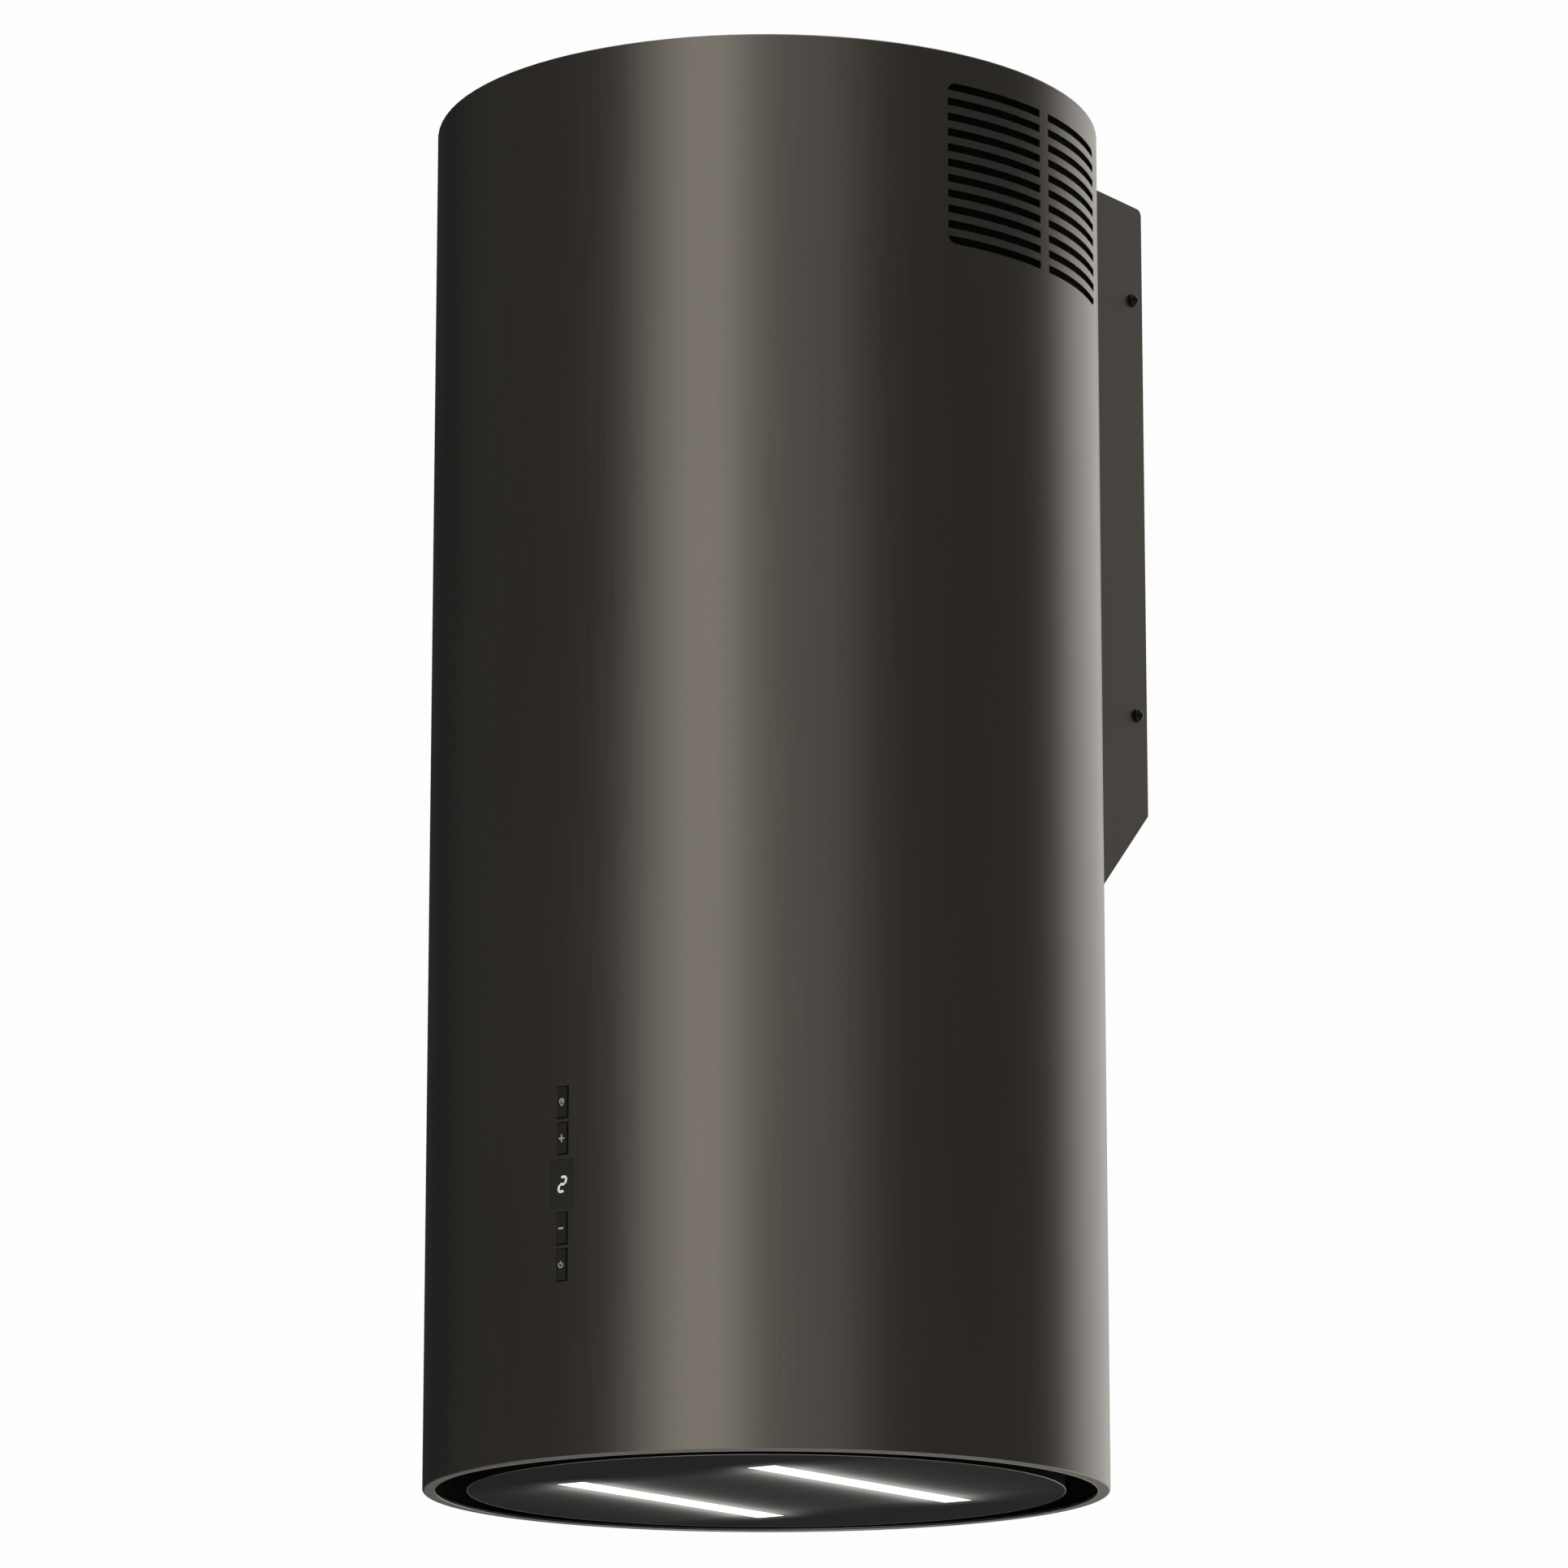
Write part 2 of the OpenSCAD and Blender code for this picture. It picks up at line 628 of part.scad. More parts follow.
// Sheet hood that turns the scroll's square outlet into a round one
module outlet_transition() color("#a3a5a5") in_tube() difference() {
    union() {
        transition_body(scroll_t);
        translate([0, 0, deck_z - 1.5]) ring(86, 68, 1.45);
    }
    transition_body(0);
    translate([0, 0, deck_z - 3]) cylinder(10, r = 68);
}

module transition_body(grow) {
    low = [fan_y - scroll_large, fan_y + scroll_small * cos(tongue_a)];
    over = grow > 0 ? 0 : 1;
    hull() {
        translate([-scroll_half - grow, low[0] - grow, channel_top + 0.05 - over])
            cube([2 * (scroll_half + grow), low[1] - low[0] + 2 * grow, 1 + over]);
        translate([0, 0, deck_z - 2]) cylinder(1.9, r = 68 + grow, $fn = 48);
    }
}

// ---------- Outlet collar and damper ----------

module outlet_collar() color("#3a3b3c") in_tube() difference() {
    rotate_extrude() polygon([
        [collar_r - 4.5, deck_z + deck_t], [collar_r + 12, deck_z + deck_t],
        [collar_r + 12, deck_z + deck_t + 2.5], [collar_r, deck_z + deck_t + 2.5],
        [collar_r, deck_z + deck_t + collar_h], [collar_r - collar_t, deck_z + deck_t + collar_h],
        [collar_r - collar_t, spindle_z - 4], [collar_r - 4.5, spindle_z - 4],
        [collar_r - 4.5, spindle_z - 6], [collar_r - collar_t, spindle_z - 8],
        [collar_r - collar_t, deck_z + deck_t + 2.5], [collar_r - 4.5, deck_z + deck_t + 2.5]
    ]);
    translate([0, 0, spindle_z]) rotate([0, 90, 0])
        cylinder(2 * collar_r + 10, r = spindle_r, center = true);
}

module damper_spindle() color("#c4c4c0") in_tube() translate([0, 0, spindle_z])
    rotate([0, 90, 0]) cylinder(2 * collar_r - 0.4, r = spindle_r, center = true);

// Half-disc flap for the side of -Y, with three knuckles; the rear flap is this one turned round
module flap() {
    low = spindle_z - 3.95;
    difference() {
        union() {
            difference() {
                translate([0, 0, low]) cylinder(flap_t, r = flap_r);
                translate([-100, -knuckle_r - 0.6, low - 1]) cube([200, 200, 10]);
            }
            for (x = [0.4 - 1.5 * knuckle_pitch : knuckle_pitch : 0.6 * knuckle_pitch]) {
                translate([x, 0, spindle_z]) rotate([0, 90, 0]) cylinder(knuckle_l, r = knuckle_r);
                translate([x, -knuckle_r - 1, low]) cube([knuckle_l, knuckle_r, flap_t]);
            }
        }
        translate([-100, 0, spindle_z]) rotate([0, 90, 0]) cylinder(200, r = spindle_r + 0.07);
    }
}
module flap_front() color("#c9cbcc") in_tube() flap();
module flap_rear() color("#c9cbcc") in_tube() rotate([0, 0, 180]) flap();

// ---------- Controls ----------

// Carrier behind the tube: a front plate with the windows, side walls and board posts
module control_carrier() color("#161616") in_tube() difference() {
    low = control_z - 60;
    union() {
        translate([-14, carrier_front, low]) cube([28, 1.5, 120]);
        for (side = [-1, 1]) translate([side * 13 - 1, carrier_front, low]) cube([2, 17, 120]);
        for (z = [low, low + 118]) translate([-14, carrier_front, z]) cube([28, 17, 2]);
    }
    for (i = [0:3]) translate([0, carrier_front, key_z(i)])
        cube([key_window_w, 10, key_window_h], center = true);
    translate([0, carrier_front, control_z]) cube([display_w - 3, 10, display_h - 3], center = true);
}

module control_board() color("#1f4a2c") in_tube()
    translate([-11.9, board_y, control_z - 57.9]) cube([23.8, 1.6, 115.8]);

// A switch behind each key: body and plunger
module key_switches() color("#b8b4a8") in_tube()
    for (i = [0:3]) translate([0, board_y, key_z(i)]) rotate([90, 0, 0]) {
        translate([-3, -3, 0]) cube([6, 6, 4.5]);
        cylinder(6.4, r = 1.7);
    }

module display_block() color("#101012") in_tube()
    translate([-5.9, carrier_front + 0.4, control_z - 11.6]) difference() {
        cube([11.8, board_y - carrier_front - 0.4, 23.2]);
        translate([1.4, -1, 3.5]) cube([9, 1.3, 16]);
    }

module display_window() color("#1a1a1c") in_tube()
    translate([-display_w / 2, window_front, control_z - display_h / 2])
        cube([display_w, carrier_front - window_front, display_h]);

// A key: face in its window, and a flange behind the carrier's plate
module key(i) color("#2b2a27") in_tube() translate([0, 0, key_z(i)]) {
    front = -tube_r - key_proud;
    back = carrier_front + 1.7;
    translate([-key_w / 2, front, -key_h / 2]) cube([key_w, back - front + 0.5, key_h]);
    translate([-key_w / 2 - 1.4, back, -key_h / 2 - 1.1]) cube([key_w + 2.8, 1, key_h + 2.2]);
    translate([-1.5, back, -1.5]) cube([3, board_y - 7.7 - back, 3]);
}
module key_light() key(0);
module key_plus() key(1);
module key_minus() key(2);
module key_power() key(3);

// ---------- Electronics on the deck ----------

// Floor of the electronics box, on the partition deck
module on_deck() in_tube() translate([0, 0, deck_z + deck_t]) children();

module electronics_box() color("#d5d3cc") on_deck() translate([-70, 90, 0]) difference() {
    cube([140, 58, 54]);
    translate([2, 2, 2]) cube([136, 54, 60]);
    translate([70, 60, 38]) rotate([90, 0, 0]) cylinder(10, r = 6, center = true);
}

module electronics_lid() color("#d5d3cc") on_deck() translate([-71, 89, 54]) {
    cube([142, 60, 2]);
    translate([3.3, 3.3, -3]) difference() {
        cube([135.4, 53.4, 3.5]);
        translate([1.5, 1.5, -1]) cube([132.4, 50.4, 4]);
    }
}

// Board with transformer, relays and terminal block
module main_board() color("#2c5a3a") on_deck() translate([-67, 93, 2]) {
    for (x = [4, 124], y = [4, 42]) translate([x, y, 0]) cylinder(6.5, r = 3);
    translate([0, 0, 6]) cube([134, 52, 1.6]);
    translate([8, 8, 7]) cube([34, 30, 29]);
    for (i = [0:2]) translate([52 + 19 * i, 6, 7]) cube([15, 19, 16]);
    translate([62, 34, 7]) cube([54, 12, 14]);
}

module motor_capacitor() color("#dedbd2") on_deck() translate([112, -30, 17.5])
    rotate([-90, 0, 0]) {
        cylinder(60, r = 16);
        translate([0, 0, 20]) difference() {
            ring(17.5, 15.9, 14);
            translate([-1, -20, -1]) cube([2, 10, 16]);
        }
        translate([-14, 14, 20]) cube([28, 3.5, 14]);
        for (x = [-6, 6]) translate([x - 3, -0.4, 59.5]) cube([6, 0.8, 8]);
    }

module led_driver() color("#e4e2dc") on_deck() translate([-128, -50, 0]) {
    cube([32, 100, 22]);
    for (y = [-8, 99.5]) translate([8, y, 0]) cube([16, 8.5, 2]);
}

outer_tube();
rim_ring();
top_lid();
lid_screws();
cable_grommet();
bracket_box();
wall_plate();
side_screws();
stiffener_plates();
bracket_bolts();
intake_pan();
filter_holders();
filter_frame();
filter_mesh();
filter_latch();
latch_spring();
magnet_catches();
hinge_brackets();
bottom_panel();
hinge_leaves();
hinge_pins();
striker_plates();
led_channels();
led_strips();
diffuser_left();
diffuser_right();
partition_deck();
deck_seal();
deck_tabs();
deck_screws();
scroll_left();
scroll_right();
inlet_rings();
grille_screens();
impeller();
fan_shaft();
motor();
motor_bracket();
motor_bushes();
charcoal_filter_left();
charcoal_filter_right();
outlet_transition();
outlet_collar();
damper_spindle();
flap_front();
flap_rear();
control_carrier();
control_board();
key_switches();
display_block();
display_window();
key_light();
key_plus();
key_minus();
key_power();
electronics_box();
electronics_lid();
main_board();
motor_capacitor();
led_driver();
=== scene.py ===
"""Looks for the cylinder range hood.

Materials, small pieces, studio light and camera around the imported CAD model.
"""
import json
import math

import bmesh
import bpy
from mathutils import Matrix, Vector


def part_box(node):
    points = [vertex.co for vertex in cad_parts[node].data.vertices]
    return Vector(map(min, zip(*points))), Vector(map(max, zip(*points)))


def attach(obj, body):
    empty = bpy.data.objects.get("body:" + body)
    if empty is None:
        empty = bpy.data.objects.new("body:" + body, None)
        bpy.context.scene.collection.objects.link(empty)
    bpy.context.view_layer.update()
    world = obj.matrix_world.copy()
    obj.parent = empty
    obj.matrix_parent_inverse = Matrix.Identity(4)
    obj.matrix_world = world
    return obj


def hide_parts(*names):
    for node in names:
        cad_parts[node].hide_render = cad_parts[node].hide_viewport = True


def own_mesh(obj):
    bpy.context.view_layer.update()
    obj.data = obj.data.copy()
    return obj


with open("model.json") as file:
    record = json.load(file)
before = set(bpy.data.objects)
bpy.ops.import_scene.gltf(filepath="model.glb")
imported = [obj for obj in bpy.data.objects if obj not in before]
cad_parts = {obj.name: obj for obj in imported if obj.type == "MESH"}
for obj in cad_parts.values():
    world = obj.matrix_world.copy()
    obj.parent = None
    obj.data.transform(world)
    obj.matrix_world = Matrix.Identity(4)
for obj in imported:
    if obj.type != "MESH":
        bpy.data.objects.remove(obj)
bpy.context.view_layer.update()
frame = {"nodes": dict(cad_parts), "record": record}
nodes = frame["nodes"]
MM = 0.001
for old in list(bpy.data.materials):
    bpy.data.materials.remove(old)

# The tube gives the frame that most positions are worked out in.
tube_lo, tube_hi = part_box("outer_tube")
TUBE_R = (tube_hi.x - tube_lo.x) / 2
AXIS = Vector((0.0, tube_lo.y + TUBE_R, 0.0))
LOW = tube_lo.z
TOP = tube_hi.z


# ---------------------------------------------------------------- materials

class Material:
    """A Principled material and short ways to add nodes to it."""

    def __init__(self, name, color, metallic=0.0, roughness=0.5, **sockets):
        self.material = bpy.data.materials.new(name)
        self.material.use_nodes = True
        self.tree = self.material.node_tree
        self.shader = self.tree.nodes["Principled BSDF"]
        self.color = color
        self.set("Base Color", (*color, 1.0))
        self.set("Metallic", metallic)
        self.set("Roughness", roughness)
        for socket, value in sockets.items():
            self.set(socket.replace("_", " "), value)
        self.place = self.add("ShaderNodeTexCoord").outputs["Object"]

    def set(self, socket, value):
        self.shader.inputs[socket].default_value = value

    def add(self, kind, **values):
        node = self.tree.nodes.new(kind)
        for name, value in values.items():
            if hasattr(node, name):
                setattr(node, name, value)
            else:
                node.inputs[name.replace("_", " ")].default_value = value
        return node

    def link(self, a, b):
        self.tree.links.new(a, b)

    def scaled(self, scale):
        """Object coordinates, stretched by a factor along each axis."""
        node = self.add("ShaderNodeMapping", Scale=scale)
        self.link(self.place, node.inputs["Vector"])
        return node.outputs["Vector"]

    def noise(self, scale, stretch=(1, 1, 1), detail=3.0):
        node = self.add("ShaderNodeTexNoise", Scale=scale, Detail=detail, Roughness=0.55)
        self.link(self.scaled(stretch), node.inputs["Vector"])
        return node.outputs["Fac"]

    def cells(self, scale, output="Color"):
        node = self.add("ShaderNodeTexVoronoi", Scale=scale)
        self.link(self.place, node.inputs["Vector"])
        return node.outputs[output]

    def bands(self, direction, scale):
        node = self.add("ShaderNodeTexWave", wave_type="BANDS", bands_direction=direction, Scale=scale)
        self.link(self.place, node.inputs["Vector"])
        return node.outputs["Fac"]

    def spread(self, value, low, high, start=0.3, end=0.7):
        """Maps a value between start and end to low and high."""
        node = self.add("ShaderNodeMapRange", clamp=True)
        for socket, number in zip(("From Min", "From Max", "To Min", "To Max"), (start, end, low, high)):
            node.inputs[socket].default_value = number
        self.link(value, node.inputs["Value"])
        return node.outputs["Result"]

    def math(self, operation, a, b=None):
        node = self.add("ShaderNodeMath", operation=operation)
        for socket, value in zip(node.inputs, (a, b)):
            if value is None:
                continue
            if isinstance(value, (int, float)):
                socket.default_value = value
            else:
                self.link(value, socket)
        return node.outputs["Value"]

    def tint(self, color, factor, socket):
        """Gives the shader's socket a colour times a factor."""
        node = self.add("ShaderNodeVectorMath", operation="SCALE")
        node.inputs[0].default_value = color
        self.link(factor, node.inputs["Scale"])
        self.link(node.outputs["Vector"], self.shader.inputs[socket])

    def vary_color(self, value, low, high, start=0.3, end=0.7):
        """The base colour times low to high, as value goes from start to end."""
        self.tint(self.color, self.spread(value, low, high, start, end), "Base Color")

    def vary_roughness(self, value, low, high, start=0.3, end=0.7):
        self.link(self.spread(value, low, high, start, end), self.shader.inputs["Roughness"])

    def bump(self, value, height, strength):
        """Bump of that height in metres."""
        node = self.add("ShaderNodeBump", Strength=strength, Distance=height)
        self.link(value, node.inputs["Height"])
        self.link(node.outputs["Normal"], self.shader.inputs["Normal"])


GRAIN_STRETCH = 0.012    # a satin grain's frequency along its lines, against across them
GRAIN_SHARE = 0.65       # how much of the variation is grain. The rest is cloudiness


def satin_metal(name, color, rough, direction, streak=0.035):
    """Sheet with a fine satin grain along one axis (0, 1 or 2) and a slow cloudiness."""
    m = Material(name, color, metallic=1.0, roughness=rough)
    stretch = tuple(GRAIN_STRETCH if i == direction else 1.0 for i in range(3))
    grain = m.noise(950.0, stretch, detail=2.0)
    cloud = m.noise(5.0, detail=2.0)
    both = m.math("ADD", m.math("MULTIPLY", grain, GRAIN_SHARE), m.math("MULTIPLY", cloud, 1 - GRAIN_SHARE))
    m.vary_color(both, 1 - streak, 1 + streak)
    m.vary_roughness(both, rough - 0.03, rough + 0.03)
    m.bump(grain, 0.01 * MM, 0.35)
    return m


def moulded(name, color, rough, grain=900.0, height=0.03 * MM, **sockets):
    """Moulded plastic or rubber with a fine eroded skin."""
    m = Material(name, color, roughness=rough, **sockets)
    skin = m.noise(grain, detail=3.0)
    m.vary_color(m.noise(14.0), 0.93, 1.07)
    m.vary_roughness(skin, rough - 0.05, rough + 0.07)
    m.bump(skin, height, 0.5)
    return m


def painted(name, color, rough, peel=260.0, height=0.02 * MM, **sockets):
    """Sprayed lacquer with a slight orange peel."""
    m = Material(name, color, roughness=rough, **sockets)
    skin = m.noise(peel, detail=2.0)
    m.vary_color(m.noise(9.0), 0.94, 1.06)
    m.vary_roughness(m.noise(30.0), rough - 0.04, rough + 0.05)
    m.bump(skin, height, 0.4)
    return m


def make_zinc():
    """Galvanised sheet, its spangle in slightly different greys."""
    m = Material("zinc", (0.46, 0.455, 0.44), metallic=1.0, roughness=0.36)
    spangle = m.cells(120.0)
    split = m.add("ShaderNodeSeparateColor")
    m.link(spangle, split.inputs["Color"])
    m.vary_color(split.outputs["Red"], 0.86, 1.08, 0.0, 1.0)
    m.vary_roughness(split.outputs["Green"], 0.32, 0.42, 0.0, 1.0)
    m.bump(m.noise(600.0), 0.01 * MM, 0.3)
    return m


GLOW_REACH = 8 * MM      # where the painted glow beside a bar has fallen to a half
GLOW_INSIDE = 20 * MM    # how far from a bar's end the painted glow starts to fade
GLOW_OUTSIDE = 14 * MM   # and how far past the end it is gone
GLOW_TINT = (1.0, 0.97, 0.92)
LOWER_FACE = 0.2 * MM    # how thick a layer counts as the panel's lower face


def make_panel():
    """Satin black sheet with a painted glow beside the light bars, emission that stands in for their light
    on it.
    """
    m = painted("panel_black", (0.0048, 0.0048, 0.0053), 0.6, peel=420.0, height=0.015 * MM,
                Specular_IOR_Level=0.06)
    split = m.add("ShaderNodeSeparateXYZ")
    m.link(m.place, split.inputs["Vector"])
    painted_glow = None
    for side in ("left", "right"):
        lo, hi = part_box(f"diffuser_{side}")
        beyond = {}
        for axis, socket in ((0, "X"), (1, "Y")):
            middle, half = (lo[axis] + hi[axis]) / 2, (hi[axis] - lo[axis]) / 2
            from_middle = m.math("ABSOLUTE", m.math("SUBTRACT", split.outputs[socket], middle))
            beyond[socket] = m.math("SUBTRACT", from_middle, half)
        across = m.math("POWER", m.math("DIVIDE", m.math("MAXIMUM", beyond["X"], 0.0), GLOW_REACH), 2.0)
        fall = m.math("DIVIDE", 1.0, m.math("ADD", across, 1.0))
        ends = m.math("POWER", m.spread(beyond["Y"], 1.0, 0.0, -GLOW_INSIDE, GLOW_OUTSIDE), 2.0)
        near = m.math("MULTIPLY", fall, ends)
        painted_glow = near if painted_glow is None else m.math("ADD", painted_glow, near)
    # Painted glow: the emission below lights the panel's lower face beside the bars, though the panel is no
    # lamp.
    underside = m.math("LESS_THAN", split.outputs["Z"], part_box("bottom_panel")[0].z + LOWER_FACE)
    m.tint(GLOW_TINT, m.math("MULTIPLY", painted_glow, underside), "Emission Color")
    m.set("Emission Strength", 0.42)
    return m


WAVE_UNIT = 0.31         # bands of a wave texture at scale 1 are about this many metres apart
DIODE_BANDS = 16.0       # scale of a wave with a band for each diode
DIFFUSER_TINT = (1.0, 0.985, 0.95)


def make_diffuser():
    """Opal cover, a little brighter over each diode behind it."""
    m = Material("diffuser", (0.9, 0.9, 0.88), roughness=0.35, Emission_Strength=1.35)
    m.tint(DIFFUSER_TINT, m.spread(m.bands("Y", DIODE_BANDS), 0.93, 1.0, 0.0, 1.0), "Emission Color")
    m.bump(m.noise(500.0), 0.01 * MM, 0.2)
    return m


def make_board():
    """Green circuit board with paler tracks."""
    m = Material("circuit_board", (0.022, 0.12, 0.045), roughness=0.3)
    tracks = m.add("ShaderNodeTexBrick", Scale=220.0, Mortar_Size=0.12)
    m.link(m.place, tracks.inputs["Vector"])
    m.vary_color(tracks.outputs["Fac"], 1.0, 1.6, 0.0, 1.0)
    m.vary_roughness(m.noise(60.0), 0.24, 0.36)
    m.bump(tracks.outputs["Fac"], 0.03 * MM, 0.5)
    return m


def make_weave(name, color, rough, pitch, height):
    """A fine woven gauze drawn on a sheet."""
    m = Material(name, color, roughness=rough, Specular_IOR_Level=0.1)
    weave = m.math("MAXIMUM", *(m.bands(direction, WAVE_UNIT / pitch) for direction in ("Y", "Z")))
    m.vary_color(weave, 0.35, 1.3, 0.2, 1.0)
    m.vary_roughness(m.noise(90.0), rough - 0.05, rough + 0.05)
    m.bump(weave, height, 0.8)
    return m


def make_charcoal():
    """Loose black grains."""
    m = Material("charcoal", (0.02, 0.02, 0.021), roughness=0.8)
    grains = m.cells(420.0, output="Distance")
    m.vary_color(grains, 0.5, 2.2, 0.0, 0.6)
    m.vary_roughness(m.noise(200.0), 0.6, 0.95)
    m.bump(grains, 0.4 * MM, 0.8)
    return m


def make_foam():
    """Open-celled sealing foam."""
    m = Material("foam", (0.045, 0.045, 0.043), roughness=0.9)
    pores = m.cells(700.0, output="Distance")
    m.vary_color(pores, 0.6, 1.4, 0.0, 0.6)
    m.bump(pores, 0.3 * MM, 0.7)
    return m


def make_turned(name, color, rough):
    """Bright machined steel with fine turning lines."""
    m = Material(name, color, metallic=1.0, roughness=rough)
    lines = m.noise(1500.0, (1.0, 1.0, 0.1), detail=1.0)
    m.vary_color(m.noise(40.0), 0.9, 1.05)
    m.vary_roughness(lines, rough - 0.05, rough + 0.08)
    m.bump(lines, 0.01 * MM, 0.4)
    return m


GRAPHITE = (0.185, 0.170, 0.150)
made = [
    satin_metal("tube_graphite", GRAPHITE, 0.30, 2),
    satin_metal("rim_graphite", (0.24, 0.225, 0.2), 0.32, 0),
    make_panel(),
    moulded("pan_black", (0.004, 0.004, 0.004), 0.8, Specular_IOR_Level=0.06),
    make_zinc(),
    make_turned("bright_steel", (0.62, 0.61, 0.58), 0.22),
    make_turned("black_screw", (0.03, 0.029, 0.027), 0.38),
    satin_metal("aluminium", (0.72, 0.725, 0.73), 0.36, 0, 0.03),
    make_turned("filter_mesh", (0.75, 0.755, 0.76), 0.28),
    make_diffuser(),
    moulded("led_board", (0.85, 0.85, 0.8), 0.4),
    moulded("rubber", (0.02, 0.02, 0.02), 0.72, grain=500.0, height=0.05 * MM),
    make_foam(),
    make_weave("gauze_black", (0.003, 0.003, 0.003), 0.85, pitch=0.8 * MM, height=0.1 * MM),
    moulded("black_plastic", (0.018, 0.018, 0.018), 0.5),
    moulded("fan_plastic", (0.03, 0.033, 0.038), 0.45),
    painted("motor_paint", (0.14, 0.15, 0.16), 0.42),
    make_charcoal(),
    painted("key_face", (0.019, 0.0185, 0.0175), 0.42, peel=900.0, Specular_IOR_Level=0.4),
    painted("smoked_window", (0.03, 0.0295, 0.028), 0.12, peel=120.0, height=0.004 * MM),
    moulded("display_block", (0.01, 0.01, 0.01), 0.6),
    make_board(),
    moulded("light_plastic", (0.66, 0.645, 0.6), 0.45),
    moulded("switch_body", (0.5, 0.47, 0.4), 0.45),
    moulded("magnet_white", (0.72, 0.71, 0.67), 0.4),
]
MATERIALS = {m.material.name: m.material for m in made}

for part in frame["record"]["subparts"]:
    mesh = nodes[part["node"]].data
    mesh.materials.clear()
    mesh.materials.append(MATERIALS[part["material_slot"]])

# The ring at the tube's lower end gets a lighter metal than the lid that shares its slot.
# Its lighter colour is partly the ring's own satin finish and partly painted highlight, standing in for its
# sheen.
ring_metal_and_painted_sheen = satin_metal("ring_metal_and_painted_sheen", (0.42, 0.40, 0.36), 0.34, 0).material
nodes["rim_ring"].data.materials[0] = ring_metal_and_painted_sheen

# Printed and lit marks have looks of their own. The printed signs carry a faint painted glow.
print_with_painted_glow = painted("key_print_painted_glow", (0.5, 0.49, 0.46), 0.5, peel=1500.0, height=0.003 * MM,
                      Emission_Strength=0.06, Emission_Color=(0.9, 0.9, 0.85, 1.0)).material
digit_light = moulded("digit_light", (0.5, 0.5, 0.48), 0.4, Emission_Strength=0.42,
                      Emission_Color=(1.0, 0.99, 0.95, 1.0)).material
edge_metal = make_turned("edge_metal", (0.4, 0.39, 0.36), 0.25).material
panel_edge = make_turned("panel_edge", (0.2, 0.196, 0.19), 0.35).material
weld_metal = make_turned("weld_metal", (0.26, 0.245, 0.22), 0.3).material


# ---------------------------------------------------------------- pieces

SHARP_ANGLE = math.radians(40)


def piece(name, parts, material, body, smooth=False):
    """One object from several (vertices, faces) shells, in metres, riding on a body."""
    verts, faces = [], []
    for some, polygons in parts:
        base = len(verts)
        verts += [tuple(v) for v in some]
        faces += [tuple(base + i for i in p) for p in polygons]
    mesh = bpy.data.meshes.new(name)
    mesh.from_pydata(verts, [], faces)
    edit = bmesh.new()
    edit.from_mesh(mesh)
    bmesh.ops.recalc_face_normals(edit, faces=edit.faces)
    edit.to_mesh(mesh)
    edit.free()
    if smooth:
        mesh.shade_smooth()
        mesh.set_sharp_from_angle(angle=SHARP_ANGLE)
    mesh.materials.append(material)
    obj = bpy.data.objects.new(name, mesh)
    bpy.context.scene.collection.objects.link(obj)
    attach(obj, body)
    return obj


def prism(outline, y_front, y_back):
    """A closed (x, z) outline, made solid between two depths along Y."""
    n = len(outline)
    verts = [(x, y, z) for y in (y_front, y_back) for x, z in outline]
    faces = [tuple(range(n)), tuple(range(2 * n - 1, n - 1, -1))]
    faces += [(i, (i + 1) % n, n + (i + 1) % n, n + i) for i in range(n)]
    return verts, faces


def band(cx, cz, r_in, r_out, start, end, steps):
    """Outline of part of a flat ring, angles in degrees from +X towards +Z."""
    angles = [math.radians(start + (end - start) * i / steps) for i in range(steps + 1)]
    outer = [(cx + r_out * math.cos(a), cz + r_out * math.sin(a)) for a in angles]
    inner = [(cx + r_in * math.cos(a), cz + r_in * math.sin(a)) for a in reversed(angles)]
    return outer + inner


def bar(cx, cz, width, height):
    """Outline of a small upright or level bar, its corners cut off."""
    w, h, c = width / 2, height / 2, min(width, height) * 0.25
    right_side = [(w - c, -h), (w, -h + c), (w, h - c), (w - c, h)]
    left_side = [(-x, -z) for x, z in right_side]
    return [(cx + x, cz + z) for x, z in right_side + left_side]


def sweep(points, radius, sides, closed=False, flat=1.0):
    """A tube along points. flat squeezes its section along the second direction."""
    points = [Vector(p) for p in points]
    n = len(points)
    verts, faces = [], []
    side = None
    for i, p in enumerate(points):
        ahead = points[(i + 1) % n] if closed or i < n - 1 else p
        behind = points[i - 1] if closed or i > 0 else p
        along = (ahead - behind).normalized()
        if side is None:
            side = along.orthogonal().normalized()
        side = (side - along * side.dot(along)).normalized()
        up = along.cross(side)
        for k in range(sides):
            a = 2 * math.pi * k / sides
            verts.append(p + side * (radius * math.cos(a)) + up * (radius * flat * math.sin(a)))
    for i in range(n if closed else n - 1):
        j = (i + 1) % n
        faces += [(i * sides + k, i * sides + (k + 1) % sides, j * sides + (k + 1) % sides, j * sides + k)
                  for k in range(sides)]
    if not closed:
        faces += [tuple(range(sides)), tuple(range(n * sides - 1, (n - 1) * sides - 1, -1))]
    return verts, faces


def circle(radius, z, steps):
    """Points of a level circle round the tube's axis."""
    return [(AXIS.x + radius * math.cos(2 * math.pi * i / steps),
             AXIS.y + radius * math.sin(2 * math.pi * i / steps), z) for i in range(steps)]


# The tube's sheet, laid again: every triangle runs the short way round the curve, and the normals stand
# square to it.
SHEET_T = 1.2 * MM
ON_SKIN = 0.03 * MM      # a point this near to a skin lies on it
SAME_POINT = 0.002 * MM  # points this near to each other are one
AROUND_SLACK = math.radians(0.01)    # an edge is turned only if that shortens it by more than this


